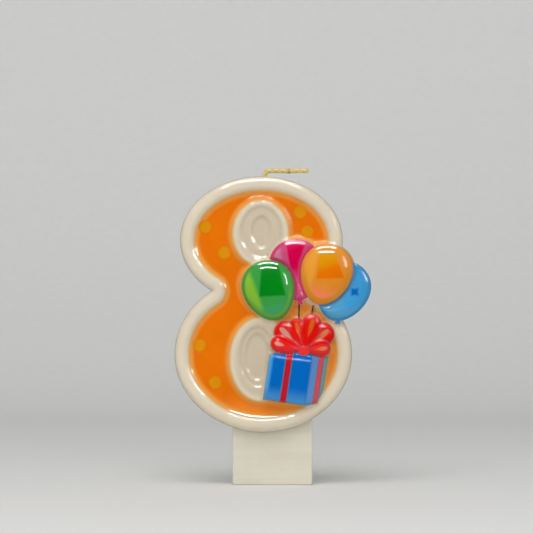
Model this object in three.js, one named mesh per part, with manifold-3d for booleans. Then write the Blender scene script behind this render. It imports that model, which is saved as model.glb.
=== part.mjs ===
// Birthday candle in the shape of the numeral eight, 86 mm tall, standing on a flat foot tab.
// A white wax numeral with a raised rim holds a coloured wax band in a channel. Balloons, a bow and
// a gift box are wax reliefs seated on its front. A waxed cotton wick runs down inside it.
// Frame: X to the right, Y to the back, Z up, origin at the middle of the foot's lower end. Millimetres.
import * as THREE from "three";
import { mergeVertices } from "three/addons/utils/BufferGeometryUtils.js";
import Module from "manifold-3d";

const wasm = await Module();
wasm.setup();

// ---------------------------------------------------------------- driving dimensions

const footWidth = 21.6;
const footThickness = 6;
const footHeight = 14.6; // foot end to the underside of the lower loop
const tongueWidth = 13;
const tongueThickness = 3;
const tongueLength = 7; // how far the foot's tongue reaches up into the numeral

const lowerHalfWidth = 24;
const lowerHalfHeight = 21;
const upperHalfWidth = 22;
const upperHalfHeight = 17.3;
const loopPitch = 30.8; // lower loop's centre to upper loop's centre
const lowerShift = -2.5; // lower loop's centre from the foot's centre line
const upperShift = -3;
const bodyThickness = 9.5;
const rimWidth = 3.8;
const rimRound = 0.9; // rounding of the rim's outer edge at the front

const bandThickness = 1;
const bandRecess = 1.2; // rim's face down to the band's face
const dishStep = 0.7; // depth of each of the two steps in a counter

const dotRadius = 1.75;
const dotThickness = 0.3;

const balloonHalfWidth = 7;
const balloonHalfHeight = 8.3;
const balloonTaper = 0.15; // share by which the crown is wider and the neck end is narrower
const frontBalloonRise = 4;
const rearBalloonRise = 3;
const knotWidth = 1.5;
const knotLength = 1.1;
const stringWidth = 0.35;
const stringRise = 0.35;
const stringTuck = 2; // how far a string's end goes in under the tip of its bow loop

const boxWidth = 11.6;
const boxHeight = 12.3;
const boxDepthX = 4.4; // the receding side, as it is drawn on the face
const boxDepthZ = 1.1;
const boxTilt = -8.5; // degrees
const boxRise = 2.6;
const boxSideRise = 1.9;
const boxCutAcross = 1.2; // the side's lower outer corner is cut off, this far in along its lower edge
const boxCutUp = 3.4; // and this far up its outer edge
const frontRibbonWidth = 1.75;
const sideRibbonWidth = 1.35;
const ribbonThickness = 0.3;
const ribbonProud = 0.15; // how far a ribbon stands above the face it is set in

const bowRise = 3.2;
const bowKnotRadius = 1.5;
const bowInset = 2.4; // bow's centre from the right edge of the box's front
const bowSetback = 0.35; // each loop's face lies this much behind the loop in front of it

const wickRadius = 0.65;
const wickShift = -2.1; // wick's axis from the foot's centre line
const wickStub = 1.6; // wick above the wax, up to its bend
const wickFree = 11.9; // wick beyond the bend
const wickFloor = 3; // wax between the foot's tongue and the wick's lower end

const seatGap = 0.05; // between a relief and the face it rests on
const sideGap = 0.15; // between the edges of two pieces that meet
const wickGap = 0.3; // round the wick in its bore

// ---------------------------------------------------------------- places that follow from them

const backY = footThickness / 2; // the foot's back and the numeral's back are flush
const rimY = backY - bodyThickness;
const bandY = rimY + bandRecess;
const channelY = bandY + bandThickness + seatGap;
const farFront = rimY - 50;

const lower = {
  x: lowerShift,
  z: footHeight + lowerHalfHeight,
  a: lowerHalfWidth,
  b: lowerHalfHeight,
};
const upper = {
  x: upperShift,
  z: lower.z + loopPitch,
  a: upperHalfWidth,
  b: upperHalfHeight,
};

// Each counter is a white oval left standing in the band, with two dished steps in it.
const counters = [
  { x: upper.x - 0.2, z: upper.z + 1.9, a: 7.5, b: 8.7, steps: [[5.4, 6.9], [2.5, 4.1]] },
  { x: lower.x - 0.6, z: lower.z - 1.4, a: 8.4, b: 11.3, steps: [[4.6, 7.9], [3, 6.1]] },
];
const dishShift = [[0.2, 0.3], [-1, 0.7]]; // each dish's centre from its counter's centre

const wickX = wickShift;
const wickY = rimY + bodyThickness / 2;
const bendZ = upper.z + upper.b * Math.sqrt(1 - ((wickX - upper.x) / upper.a) ** 2) + wickStub;

// ---------------------------------------------------------------- solids

// A closed three.js geometry as a manifold-3d solid.
function solidOf(geometry) {
  const open = geometry.index ? geometry.toNonIndexed() : geometry;
  const bare = new THREE.BufferGeometry().setAttribute("position", open.getAttribute("position"));
  const merged = mergeVertices(bare, 1e-4);
  return new wasm.Manifold(
    new wasm.Mesh({
      numProp: 3,
      vertProperties: merged.attributes.position.array,
      triVerts: new Uint32Array(merged.index.array),
    }),
  );
}

// A manifold-3d solid as a three.js geometry.
function geometryOf(solid) {
  const mesh = solid.getMesh();
  const geometry = new THREE.BufferGeometry();
  geometry.setAttribute("position", new THREE.BufferAttribute(mesh.vertProperties, 3));
  geometry.setIndex(new THREE.BufferAttribute(mesh.triVerts, 1));
  geometry.computeVertexNormals();
  return geometry;
}

const union = (solids) => solids.reduce((all, one) => all.add(one));

// What is left of a piece that its neighbours cut: its largest body, without loose chips.
function largestBody(solid) {
  return solid.decompose().reduce((best, one) => (one.volume() > best.volume() ? one : best));
}

function block(x0, x1, y0, y1, z0, z1) {
  const geometry = new THREE.BoxGeometry(x1 - x0, y1 - y0, z1 - z0);
  geometry.translate((x0 + x1) / 2, (y0 + y1) / 2, (z0 + z1) / 2);
  return solidOf(geometry);
}

// An outline in the XZ plane, carried along Y from its back to its front. Its front edge can be bevelled.
function prism(outline, back, front, bevel = 0) {
  const geometry = new THREE.ExtrudeGeometry(new THREE.Shape(outline), {
    depth: back - front - bevel,
    bevelEnabled: bevel > 0,
    bevelSize: bevel,
    bevelOffset: -bevel,
    bevelThickness: bevel,
    bevelSegments: 2,
  });
  geometry.rotateX(Math.PI / 2);
  geometry.translate(0, back, 0);
  const solid = solidOf(geometry);
  return bevel > 0 ? solid.intersect(block(-200, 200, front - 1, back, -200, 300)) : solid;
}

// ---------------------------------------------------------------- outlines

const point = (x, z) => new THREE.Vector2(x, z);

// Points of an outline given in a local frame, turned by an angle and moved to a centre.
function placed(points, x, z, angle) {
  const origin = point(0, 0);
  return points.map((p) => p.clone().rotateAround(origin, angle).add(point(x, z)));
}

function ellipse(x, z, a, b, count = 48) {
  return Array.from({ length: count }, (_, i) => {
    const t = (2 * Math.PI * i) / count;
    return point(x + a * Math.cos(t), z + b * Math.sin(t));
  });
}

// A point on a loop at an angle, moved inwards along the loop's normal.
function loopPoint(loop, t, inset) {
  const normal = point(Math.cos(t) / loop.a, Math.sin(t) / loop.b).normalize();
  return point(
    loop.x + loop.a * Math.cos(t) - inset * normal.x,
    loop.z + loop.b * Math.sin(t) - inset * normal.y,
  );
}

// The angle on one loop, between two angles, at which it crosses the other loop.
function crossing(loop, other, inside, outside) {
  let [near, far] = [inside, outside];
  for (let i = 0; i < 50; i++) {
    const middle = (near + far) / 2;
    const p = loopPoint(loop, middle, 0);
    const within = ((p.x - other.x) / other.a) ** 2 + ((p.y - other.z) / other.b) ** 2 < 1;
    [near, far] = within ? [middle, far] : [near, middle];
  }
  return (near + far) / 2;
}

// The numeral's outline moved inwards: two arcs of ellipses, and an arc round each corner of the waist.
function numeralOutline(inset) {
  const steps = 44;
  const right = crossing(upper, lower, -Math.PI / 2, Math.PI / 2);
  const left = crossing(upper, lower, -Math.PI / 2, -1.5 * Math.PI) + 2 * Math.PI;
  const lowerLeft = crossing(lower, upper, Math.PI / 2, 1.5 * Math.PI);
  const lowerRight = crossing(lower, upper, Math.PI / 2, -Math.PI / 2) + 2 * Math.PI;
  const arc = (loop, from, to) =>
    Array.from({ length: steps + 1 }, (_, i) => loopPoint(loop, from + ((to - from) * i) / steps, inset));
  const over = arc(upper, right, left);
  const under = arc(lower, lowerLeft, lowerRight);
  if (inset < 1e-6) return [...over, ...under.slice(1, -1)];
  const round = (corner, start, end) => {
    const from = start.clone().sub(corner).angle();
    const turn = ((end.clone().sub(corner).angle() - from + 3 * Math.PI) % (2 * Math.PI)) - Math.PI;
    return Array.from({ length: 7 }, (_, i) => {
      const t = from + (turn * (i + 1)) / 8;
      return point(corner.x + inset * Math.cos(t), corner.y + inset * Math.sin(t));
    });
  };
  const leftCorner = loopPoint(upper, left, 0);
  const rightCorner = loopPoint(upper, right, 0);
  return [
    ...over,
    ...round(leftCorner, over.at(-1), under[0]),
    ...under,
    ...round(rightCorner, under.at(-1), over[0]),
  ];
}

// The right-hand corner of the waist, which the balloons are grouped round.
const waist = loopPoint(upper, crossing(upper, lower, -Math.PI / 2, Math.PI / 2), 0);

// The band: the numeral inside its rim, less the two counters. Its edges are moved in by a clearance.
function band(clearance, back, front) {
  const outer = prism(numeralOutline(rimWidth + clearance), back, front);
  const islands = counters.map((c) =>
    prism(ellipse(c.x, c.z, c.a + clearance, c.b + clearance), back + 1, front - 1),
  );
  return outer.subtract(union(islands));
}

// ---------------------------------------------------------------- reliefs

// Reliefs are made long to the back, and this trims them: they end on the rim's face, and drop
// into the channel as far as the band's face.
function seated(solid) {
  const aboveRim = block(-200, 200, farFront, rimY - seatGap, -200, 300);
  const inChannel = band(sideGap, bandY - seatGap, rimY - 1);
  return solid.intersect(aboveRim.add(inChannel));
}

const eggWidth = (z, halfHeight) => 1 + (balloonTaper * z) / halfHeight;

function eggOutline(balloon, grow, count = 36) {
  const [a, b] = [balloonHalfWidth + grow, balloonHalfHeight + grow];
  const points = ellipse(0, 0, a, b, count).map((p) => point(p.x * eggWidth(p.y, b), p.y));
  return placed(points, balloon.x, balloon.z, balloon.tilt);
}

// A balloon is a puffed egg: a lathed dome with straight sides below it, stretched to the egg's outline.
function balloonSolid(balloon, grow) {
  const [a, b] = [balloonHalfWidth + grow, balloonHalfHeight + grow];
  const puff = 0.85; // under 1 makes the sides steeper and the crown flatter than an ellipsoid's
  const rings = 7;
  const profile = [point(0, 0), point(1, 0), point(1, bandRecess)];
  for (let i = 1; i < rings; i++) {
    const t = (Math.PI / 2) * (i / rings);
    profile.push(point(Math.cos(t) ** puff, bandRecess + (balloon.rise + grow) * Math.sin(t) ** puff));
  }
  profile.push(point(0, bandRecess + balloon.rise + grow));
  const geometry = new THREE.LatheGeometry(profile, 36);
  geometry.rotateX(Math.PI);
  const position = geometry.getAttribute("position");
  for (let i = 0; i < position.count; i++) {
    const z = position.getZ(i);
    position.setX(i, position.getX(i) * a * (1 + balloonTaper * z));
    position.setZ(i, z * b);
  }
  geometry.rotateY(-balloon.tilt);
  geometry.translate(balloon.x, bandY - seatGap, balloon.z);
  return solidOf(geometry);
}

// Balloons, front ones first. Places are across from the lower loop's centre and up from the waist.
// The wax behind a balloon reaches past its edge by its backing, where it reaches past the numeral.
const balloons = [
  { name: "green", dx: 1.6255, dz: -0.2, tilt: 17, rise: frontBalloonRise, colour: 0x1c9a3c, backing: 0.1 },
  { name: "orange", dx: 16.9255, dz: 4.1, tilt: -15, rise: frontBalloonRise, colour: 0xee8a1c, backing: 0.45 },
  { name: "pink", dx: 8.8255, dz: 5.4, tilt: 7, rise: rearBalloonRise, colour: 0xd41464, backing: 0.1 },
  { name: "blue", dx: 21.4255, dz: -0.4, tilt: -24, lip: -9, rise: rearBalloonRise, colour: 0x3090d0, backing: 0.1 },
].map((balloon) => ({
  ...balloon,
  x: lower.x + balloon.dx,
  z: waist.y + balloon.dz,
  tilt: THREE.MathUtils.degToRad(balloon.tilt),
  lip: THREE.MathUtils.degToRad(balloon.lip ?? balloon.tilt),
}));
const balloonNamed = (name) => balloons.find((balloon) => balloon.name === name);

// The point where a balloon is tied, a distance beyond its outline. Its lip can hang to one side.
function neck(balloon, beyond) {
  return placed([point(0, -balloonHalfHeight - beyond)], balloon.x, balloon.z, balloon.lip)[0];
}

// The tied lip under a balloon: a small flared tongue.
function knotOutline(balloon, grow) {
  const [half, long] = [knotWidth / 2 + grow, knotLength + grow];
  const flare = [point(-half, -long), point(half, -long), point(0.55 * half, 0.6), point(-0.55 * half, 0.6)];
  const at = neck(balloon, 0);
  return placed(flare, at.x, at.y, balloon.lip);
}

const knotSolid = (balloon, grow) => prism(knotOutline(balloon, grow), bandY, rimY - 0.9 - grow);

// The gift box: a tilted rectangle for its front, with the top and the side receding to the right.
const boxAngle = THREE.MathUtils.degToRad(boxTilt);
const boxCorner = { x: lower.x + 1.7, z: lower.z }; // upper left corner of the front
const onBox = (points) => placed(points, boxCorner.x, boxCorner.z, boxAngle);
const recede = point(boxDepthX, boxDepthZ);

function boxSolid(grow) {
  const [left, right, top, bottom] = [-grow, boxWidth + grow, grow, -boxHeight - grow];
  const front = onBox([point(left, bottom), point(right, bottom), point(right, top), point(left, top)]);
  const moved = front.map((p) => p.clone().add(recede));
  const cut = [
    moved[1].clone().sub(recede.clone().setLength(boxCutAcross)),
    moved[1].clone().add(moved[2].clone().sub(moved[1]).setLength(boxCutUp)),
  ];
  const silhouette = [front[0], front[1], ...cut, moved[2], moved[3], front[3]];
  const raised = prism(front, backY, rimY - boxRise - grow, 0.5);
  const receding = prism(silhouette, backY, rimY - boxSideRise - grow, 0.4);
  return raised.add(receding);
}

// A ribbon runs down a face of the box. Its outline starts above the box and ends below it.
function ribbonOutline(middle, width, grow) {
  const half = width / 2 + grow;
  const top = point(middle, 3);
  const bottom = point(middle, -boxHeight - 3);
  return [point(bottom.x - half, bottom.y), point(bottom.x + half, bottom.y), point(top.x + half, top.y),
    point(top.x - half, top.y)];
}

const ribbons = [
  { name: "ribbon_front", middle: 0.465 * boxWidth, width: frontRibbonWidth, face: boxRise },
  { name: "ribbon_side", middle: boxWidth + 0.55 * boxDepthX, width: sideRibbonWidth, face: boxSideRise },
];

function ribbonSolid(ribbon, grow) {
  const floor = rimY - ribbon.face + ribbonThickness + grow;
  return prism(
    onBox(ribbonOutline(ribbon.middle, ribbon.width, grow)),
    floor,
    rimY - ribbon.face - ribbonProud - grow,
  );
}

// The bow's loops fan out from its knot, front ones first: angle in degrees, length and width.
const bowCentre = { x: boxCorner.x + boxWidth - bowInset, z: boxCorner.z + 1.1 };
const bowLoops = [
  { angle: 165, length: 9.2, width: 4.8 },
  { angle: 6, length: 7.3, width: 4.6 },
  { angle: 73, length: 10.2, width: 5.6 },
  { angle: 105, length: 8.9, width: 5 },
  { angle: 40, length: 9.9, width: 6.4 },
  { angle: 136, length: 10, width: 6.4 },
];

// A teardrop that starts in a point at the origin and swells towards its far end.
function teardrop(start, end, width, count) {
  const fullest = 0.77; // the largest value of sin(t) cos(t / 2)
  return Array.from({ length: count }, (_, i) => {
    const t = (2 * Math.PI * (i + 0.5)) / count;
    const along = start + ((end - start) * (1 + Math.cos(t))) / 2;
    return point(along, ((width / 2) * Math.sin(t) * Math.abs(Math.cos(t / 2))) / fullest);
  });
}

function loopSolid(loop, order, grow) {
  const face = rimY - bowRise + bowSetback * order - grow;
  const turned = (points) => placed(points, bowCentre.x, bowCentre.z, THREE.MathUtils.degToRad(loop.angle));
  const ribbon = prism(turned(teardrop(-grow, loop.length + grow, loop.width + 2 * grow, 28)), backY, face);
  const slit = teardrop(0.4 * loop.length, 0.86 * loop.length, 0.3 * loop.width - 2 * grow, 16);
  return ribbon.subtract(prism(turned(slit), backY + 1, face - 1));
}

function bowKnotSolid(grow) {
  const outline = ellipse(bowCentre.x, bowCentre.z - 0.2, bowKnotRadius + grow, 0.8 * bowKnotRadius + grow, 24);
  return prism(outline, backY, rimY - bowRise - bowSetback - grow);
}

// A string runs from a balloon's neck to a loop of the bow, and ends under the loop's tip.
function stringSolid(balloon, loop, grow) {
  const from = neck(balloon, knotLength);
  const angle = THREE.MathUtils.degToRad(loop.angle);
  const to = placed([point(loop.length - stringTuck, 0)], bowCentre.x, bowCentre.z, angle)[0];
  const across = to.clone().sub(from).normalize().rotateAround(point(0, 0), Math.PI / 2);
  across.multiplyScalar(stringWidth / 2 + grow);
  const outline = [from.clone().add(across), to.clone().add(across), to.clone().sub(across), from.clone().sub(across)];
  return prism(outline, bandY - seatGap, rimY - stringRise - grow);
}

// ---------------------------------------------------------------- the wax numeral and its foot

// Balloons and their tied lips stand on lobes of white wax, which show where they reach past the numeral.
function lobes() {
  return balloons.flatMap((balloon) => [
    prism(eggOutline(balloon, balloon.backing), backY, rimY, rimRound),
    prism(knotOutline(balloon, balloon.backing), backY, rimY),
  ]);
}

// The two dished steps of each counter, kept clear of the box that stands on its right half.
function dishes() {
  const boxClear = 0.6;
  const cuts = counters.flatMap((counter, i) =>
    counter.steps.map(([a, b], step) =>
      prism(
        ellipse(counter.x + dishShift[i][0], counter.z + dishShift[i][1], a, b, 40),
        rimY + dishStep * (step + 1),
        rimY - 1,
      ),
    ),
  );
  return union(cuts).subtract(boxSolid(boxClear)).subtract(balloonSolid(balloonNamed("green"), boxClear));
}

function tongue(grow) {
  const top = footHeight + tongueLength + grow;
  const [half, thick] = [tongueWidth / 2 + grow, tongueThickness / 2 + grow];
  return block(-half, half, -thick, thick, footHeight - 3, top);
}

function wickCylinder(radius, bottom, top) {
  const geometry = new THREE.CylinderGeometry(radius, radius, top - bottom, 16);
  geometry.rotateX(Math.PI / 2);
  geometry.translate(wickX, wickY, (bottom + top) / 2);
  return solidOf(geometry);
}

const wickBottom = footHeight + tongueLength + wickFloor;

function waxBody() {
  const numeral = union([prism(numeralOutline(0), backY, rimY, rimRound), ...lobes()]);
  return numeral
    .subtract(band(0, channelY, rimY - 1))
    .subtract(dishes())
    .subtract(tongue(sideGap))
    .subtract(wickCylinder(wickRadius + wickGap, wickBottom - wickGap, bendZ + 20));
}

// The foot meets the numeral's underside all along its curve, and its tongue goes up inside.
function footTab() {
  const slab = block(-footWidth / 2, footWidth / 2, -footThickness / 2, footThickness / 2, 0, lower.z);
  return slab.subtract(prism(numeralOutline(-sideGap), backY + 1, farFront)).add(tongue(0));
}

// Dots let into the band's face. Places are from the centre of the loop that they lie on.
const dots = [
  { loop: upper, dx: -15.2, dz: 3.6 },
  { loop: upper, dx: -10, dz: -3.4 },
  { loop: upper, dx: 10.5, dz: 7.6 },
  { loop: upper, dx: 12.4, dz: 2.3 },
  { loop: lower, dx: -17.2, dz: 2.4 },
  { loop: lower, dx: -13, dz: -7.7 },
];

const dotPrism = (dot, grow, back) =>
  prism(ellipse(dot.loop.x + dot.dx, dot.loop.z + dot.dz, dotRadius + grow, dotRadius + grow, 24), back, bandY - grow);

function orangeBand() {
  const pockets = dots.map((dot) => dotPrism(dot, sideGap, bandY + dotThickness + seatGap));
  return band(sideGap, bandY + bandThickness, bandY).subtract(union(pockets));
}

// ---------------------------------------------------------------- the wick

// The part of the wick past its bend: a waxed cord with round ends, lying over to the right.
function wickTip() {
  const profile = new THREE.Path();
  profile.absarc(0, 0, wickRadius, -Math.PI / 2, 0);
  profile.absarc(0, wickFree - wickRadius, wickRadius, 0, Math.PI / 2);
  const points = profile.getPoints(4);
  points[0].x = 0;
  points.at(-1).x = 0;
  const geometry = new THREE.LatheGeometry(points, 16);
  geometry.rotateZ(-Math.PI / 2);
  geometry.translate(wickX, wickY, bendZ);
  return solidOf(geometry);
}

// ---------------------------------------------------------------- assembly

const candle = new THREE.Group();

function addPiece(name, solid, color, roughness = 0.35) {
  const material = new THREE.MeshStandardMaterial({ color, roughness, metalness: 0 });
  const mesh = new THREE.Mesh(geometryOf(solid), material);
  mesh.name = name;
  candle.add(mesh);
}

const whiteWax = 0xdcd4bc;
const redWax = 0xd81a1e;

addPiece("wax_body", waxBody(), whiteWax);
addPiece("foot_tab", footTab(), whiteWax, 0.55);
addPiece("orange_band", orangeBand(), 0xe87604);
dots.forEach((dot, i) => addPiece(`dot_${i + 1}`, dotPrism(dot, 0, bandY + dotThickness), 0xdc8e08));

const strings = [
  { balloon: "pink", loop: bowLoops[3] },
  { balloon: "orange", loop: bowLoops[2] },
];

// Reliefs are taken from front to back, and each is cut by the grown shapes of those before it.
const reliefs = [
  { name: "bow_knot", make: bowKnotSolid, colour: redWax },
  ...bowLoops.map((loop, i) => ({
    name: `bow_loop_${i + 1}`,
    make: (grow) => loopSolid(loop, i, grow),
    colour: redWax,
  })),
  ...balloons.slice(0, 2).map((balloon) => ({
    name: `balloon_${balloon.name}`,
    make: (grow) => balloonSolid(balloon, grow),
    colour: balloon.colour,
  })),
  ...["pink", "blue"].flatMap((name) => {
    const balloon = balloonNamed(name);
    return [
      { name: `balloon_${name}`, make: (grow) => balloonSolid(balloon, grow), colour: balloon.colour },
      { name: `knot_${name}`, make: (grow) => knotSolid(balloon, grow), colour: balloon.colour },
    ];
  }),
  ...ribbons.map((ribbon) => ({
    name: ribbon.name,
    make: (grow) => ribbonSolid(ribbon, grow).intersect(boxSolid(ribbonProud + grow)),
    colour: 0xc01c30,
  })),
  { name: "gift_box", make: boxSolid, colour: 0x1070c0 },
  ...strings.map((string) => ({
    name: `string_${string.balloon}`,
    make: (grow) => stringSolid(balloonNamed(string.balloon), string.loop, grow),
    colour: 0x3a1408,
  })),
];

let inFront = null;
for (const relief of reliefs) {
  const whole = seated(relief.make(0));
  addPiece(relief.name, largestBody(inFront ? whole.subtract(inFront) : whole), relief.colour);
  const grown = relief.make(sideGap);
  inFront = inFront ? inFront.add(grown) : grown;
}

addPiece("wick_core", wickCylinder(wickRadius, wickBottom, bendZ - wickRadius - wickGap), 0xe4dcc4, 0.7);
addPiece("wick_tip", wickTip(), 0xe4dcc4, 0.7);

export default candle;
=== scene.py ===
"""Birthday candle in the shape of the numeral eight, 86 mm tall, standing on its foot.

The candle is cast face down in one mould: the bow, balloons, box and ribbons go in first, foremost
first, then the orange band, then the white wax behind them all. The file follows that order.
"""

import bpy
import numpy as np
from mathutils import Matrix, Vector


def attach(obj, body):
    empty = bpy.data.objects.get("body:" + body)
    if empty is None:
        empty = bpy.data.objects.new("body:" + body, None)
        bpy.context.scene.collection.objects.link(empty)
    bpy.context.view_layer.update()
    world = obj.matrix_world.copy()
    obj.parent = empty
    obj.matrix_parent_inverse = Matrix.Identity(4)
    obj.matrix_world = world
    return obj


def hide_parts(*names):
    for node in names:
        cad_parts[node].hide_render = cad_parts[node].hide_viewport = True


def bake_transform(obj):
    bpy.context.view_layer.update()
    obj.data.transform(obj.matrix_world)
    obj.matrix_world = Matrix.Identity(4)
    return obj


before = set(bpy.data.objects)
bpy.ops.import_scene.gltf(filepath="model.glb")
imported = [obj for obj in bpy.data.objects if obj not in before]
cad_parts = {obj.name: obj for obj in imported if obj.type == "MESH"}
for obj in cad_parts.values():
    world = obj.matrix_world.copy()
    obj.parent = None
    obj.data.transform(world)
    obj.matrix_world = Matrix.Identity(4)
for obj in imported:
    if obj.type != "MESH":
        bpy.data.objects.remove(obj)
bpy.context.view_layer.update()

# ---------------------------------------------------------------- bow
# The bow is a fan of six puffed loops of red wax round a small knot, each loop with a slit in it.
# It lies nearest the mould's floor, so it is laid in first and stands out furthest from the box.
# Everything laid in later runs up to its edges in a soft fillet.

MM = 0.001
RIM = 6.5  # height of the numeral's rim in front of the frame's XZ plane, in mm
BAND = 5.3
REACH = 3.0  # distances to an outline are worked out to this far outside it
laid = []  # what is in the mould, foremost first: (distance inside it, its height, its fillet's width)
THIN = True  # whether wax laid later thins out, and pales, beside this piece


def outline_gap(x, z, outline):
    """Distance in mm from points to a closed outline, positive inside it and at least -REACH outside.

    On each side of the outline the nearest place is start + t * side, with t held between 0 and 1.
    A point is inside where a line from it to the right crosses an odd number of sides."""
    side = np.roll(outline, -1, 0) - outline

    def measured(points):
        away = points[:, None] - outline
        t = np.clip((away * side).sum(2) / (side**2).sum(1), 0, 1)
        nearest = np.sqrt(((away - t[..., None] * side) ** 2).sum(2).min(1))
        spans = (away[..., 1] >= 0) != (away[..., 1] >= side[:, 1])
        cross = side[:, 0] * away[..., 1] - side[:, 1] * away[..., 0]
        odd = (spans & ((cross > 0) == (side[:, 1] > 0))).sum(1) % 2
        return np.where(odd == 1, nearest, -nearest)

    low, high = outline.min(0) - REACH, outline.max(0) + REACH
    near = (x > low[0]) & (x < high[0]) & (z > low[1]) & (z < high[1])
    gap = np.full(x.shape, -REACH)
    points = np.column_stack([x[near], z[near]])
    if len(points):
        parts = np.array_split(points, len(points) // 3000 + 1)
        gap[near] = np.maximum(np.concatenate([measured(part) for part in parts]), -REACH)
    return gap


def oval_gap(x, z, oval):
    """Distance in mm inside an oval (x, z, half width, half height), close to its edge.

    With p the point over the half sizes and q the point over their squares: |p| (1 - |p|) / |q|."""
    dx, dz = x - oval[0], z - oval[1]
    p = np.hypot(dx / oval[2], dz / oval[3])
    q = np.hypot(dx / oval[2] ** 2, dz / oval[3] ** 2)
    return p * (1 - p) / np.maximum(q, 1e-6)


def placed(points, x, z, degrees):
    """Points of a local frame turned by an angle and moved to (x, z)."""
    c, s = np.cos(np.radians(degrees)), np.sin(np.radians(degrees))
    return points @ np.array([[c, s], [-s, c]]) + [x, z]


def local(x, z, centre, degrees):
    """The two coordinates of points in a frame at a centre, turned by an angle."""
    c, s = np.cos(np.radians(degrees)), np.sin(np.radians(degrees))
    return (x - centre[0]) * c + (z - centre[1]) * s, (z - centre[1]) * c - (x - centre[0]) * s


def eased(value, low, high):
    """0 below low, 1 above high, and t * t * (3 - 2 t) between them."""
    t = np.clip((value - low) / (high - low), 0, 1)
    return t * t * (3 - 2 * t)


def settle(x, z, own, height):
    """Height of a piece where it runs up to what was laid before it, how far inside its own visible
    part each point is, and how far it is from the edges beside which it thins out.

    Within a fillet's width w of an edge, the height moves to that edge's by (1 + gap / w) squared."""
    visible = thick = own
    for gap, top, fillet, thin in reversed(laid):
        g = gap(x, z)
        beside = g > -fillet
        if beside.any():
            t = np.clip(1 + g[beside] / fillet, 0, 1)
            height[beside] += (top(x[beside], z[beside]) - height[beside]) * t * t
        visible = np.minimum(visible, -g)
        thick = np.minimum(thick, -g) if thin else thick
    return height, visible, thick


def finished(name, points, loops, sizes, material, nodes, marks):
    """A named object from points in mm, faces given as one run of corners and their counts, and the
    values that its material reads. Faces are turned over together if they enclose a negative volume."""
    loops, sizes = np.asarray(loops), np.asarray(sizes)
    starts = np.concatenate([[0], np.cumsum(sizes)[:-1]])
    first, second = points[loops[starts]], points[loops[starts + 1]]
    third, last = points[loops[starts + 2]], points[loops[starts + sizes - 1]]
    volume = (np.cross(first, second) * third).sum() + (np.cross(first, third) * last).sum()
    if volume < 0:
        loops = loops[np.repeat(starts * 2 + sizes - 1, sizes) - np.arange(len(loops))]
    mesh = bpy.data.meshes.new(name)
    mesh.vertices.add(len(points))
    mesh.vertices.foreach_set("co", (points * MM).ravel())
    mesh.loops.add(len(loops))
    mesh.loops.foreach_set("vertex_index", loops.astype(np.int32))
    mesh.polygons.add(len(sizes))
    mesh.polygons.foreach_set("loop_start", starts.astype(np.int32))
    mesh.update(calc_edges=True)
    mesh.shade_smooth()
    for key, values in marks.items():
        kind, field = ("FLOAT", "value") if values.ndim == 1 else ("FLOAT_VECTOR", "vector")
        mark = mesh.attributes.new(key, kind, "POINT")
        mark.data.foreach_set(field, values.astype(np.float32).ravel())
    mesh.materials.append(material)
    made = bpy.data.objects.new(name, mesh)
    bpy.context.scene.collection.objects.link(made)
    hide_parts(*nodes)
    return made


def relief(name, low, high, step, gap, height, back, place, material, nodes):
    """A relief as a closed slab over a grid of the face, from its moulded front to a flat back.

    Only cells that touch its visible part are kept. Their points past its edge are drawn in along the
    slope of the distance, to 0.04 mm from the edge, so that the pieces meet on the outline itself."""
    count = [int((high[i] - low[i]) / step) + 2 for i in (0, 1)]
    x, z = np.meshgrid(*(np.linspace(low[i], high[i], count[i]) for i in (0, 1)), indexing="ij")
    front, visible, thick = settle(x, z, gap(x, z), height(x, z))
    to_x, to_z = np.gradient(visible, x[1, 0] - x[0, 0], z[0, 1] - z[0, 0])
    seen = np.maximum.reduce([visible[:-1, :-1], visible[1:, :-1], visible[1:, 1:], visible[:-1, 1:]])
    keep = np.pad(seen > 0, 1)
    cells = keep[1:-1, 1:-1]
    past = visible < 0
    drawn = past & (keep[:-1, :-1] | keep[1:, :-1] | keep[1:, 1:] | keep[:-1, 1:])
    draw = np.clip(-visible[drawn] - 0.04, 0, 0.5) / np.maximum(np.hypot(to_x, to_z)[drawn], 0.5)
    x[drawn] += draw * to_x[drawn]
    z[drawn] += draw * to_z[drawn]
    near = x[drawn], z[drawn]
    front[drawn], _, thick[drawn] = settle(*near, gap(*near), height(*near))
    front[drawn] -= 0.03
    n = x.size
    at = np.arange(n).reshape(x.shape)
    a, b, c, d = at[:-1, :-1], at[1:, :-1], at[1:, 1:], at[:-1, 1:]
    faces = [np.stack([a, b, c, d], -1)[cells], np.stack([a, d, c, b], -1)[cells] + n]
    beside = (keep[1:-1, :-2], keep[2:, 1:-1], keep[1:-1, 2:], keep[:-2, 1:-1])
    for (p, q), other in zip(((a, b), (b, c), (c, d), (d, a)), beside):
        faces.append(np.stack([q, p, p + n, q + n], -1)[cells & ~other])
    faces = np.concatenate(faces)
    used, corners = np.unique(faces, return_inverse=True)
    depth = np.minimum(np.full(x.shape, back), front - 0.8)
    points = np.concatenate([np.stack([x, -h, z], -1).reshape(-1, 3) for h in (front, depth)])[used]
    marks = {"edge": np.tile(thick.ravel(), 2)[used]}
    if place:
        marks["place"] = np.tile(np.stack(place(x, z), -1).reshape(-1, 3), (2, 1))[used]
    sizes = np.full(len(faces), 4)
    made = finished(name, points, corners.ravel(), sizes, material, nodes, marks)
    laid.append((gap, height, FILLET, THIN))
    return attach(made, "candle")


def paint(r, g, b):
    """A colour given in the 0 to 255 steps of a paint chart, as the shader takes it."""
    v = np.array([r, g, b]) / 255
    return (*np.where(v < 0.04045, v / 12.92, ((v + 0.055) / 1.055) ** 2.4), 1.0)


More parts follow.
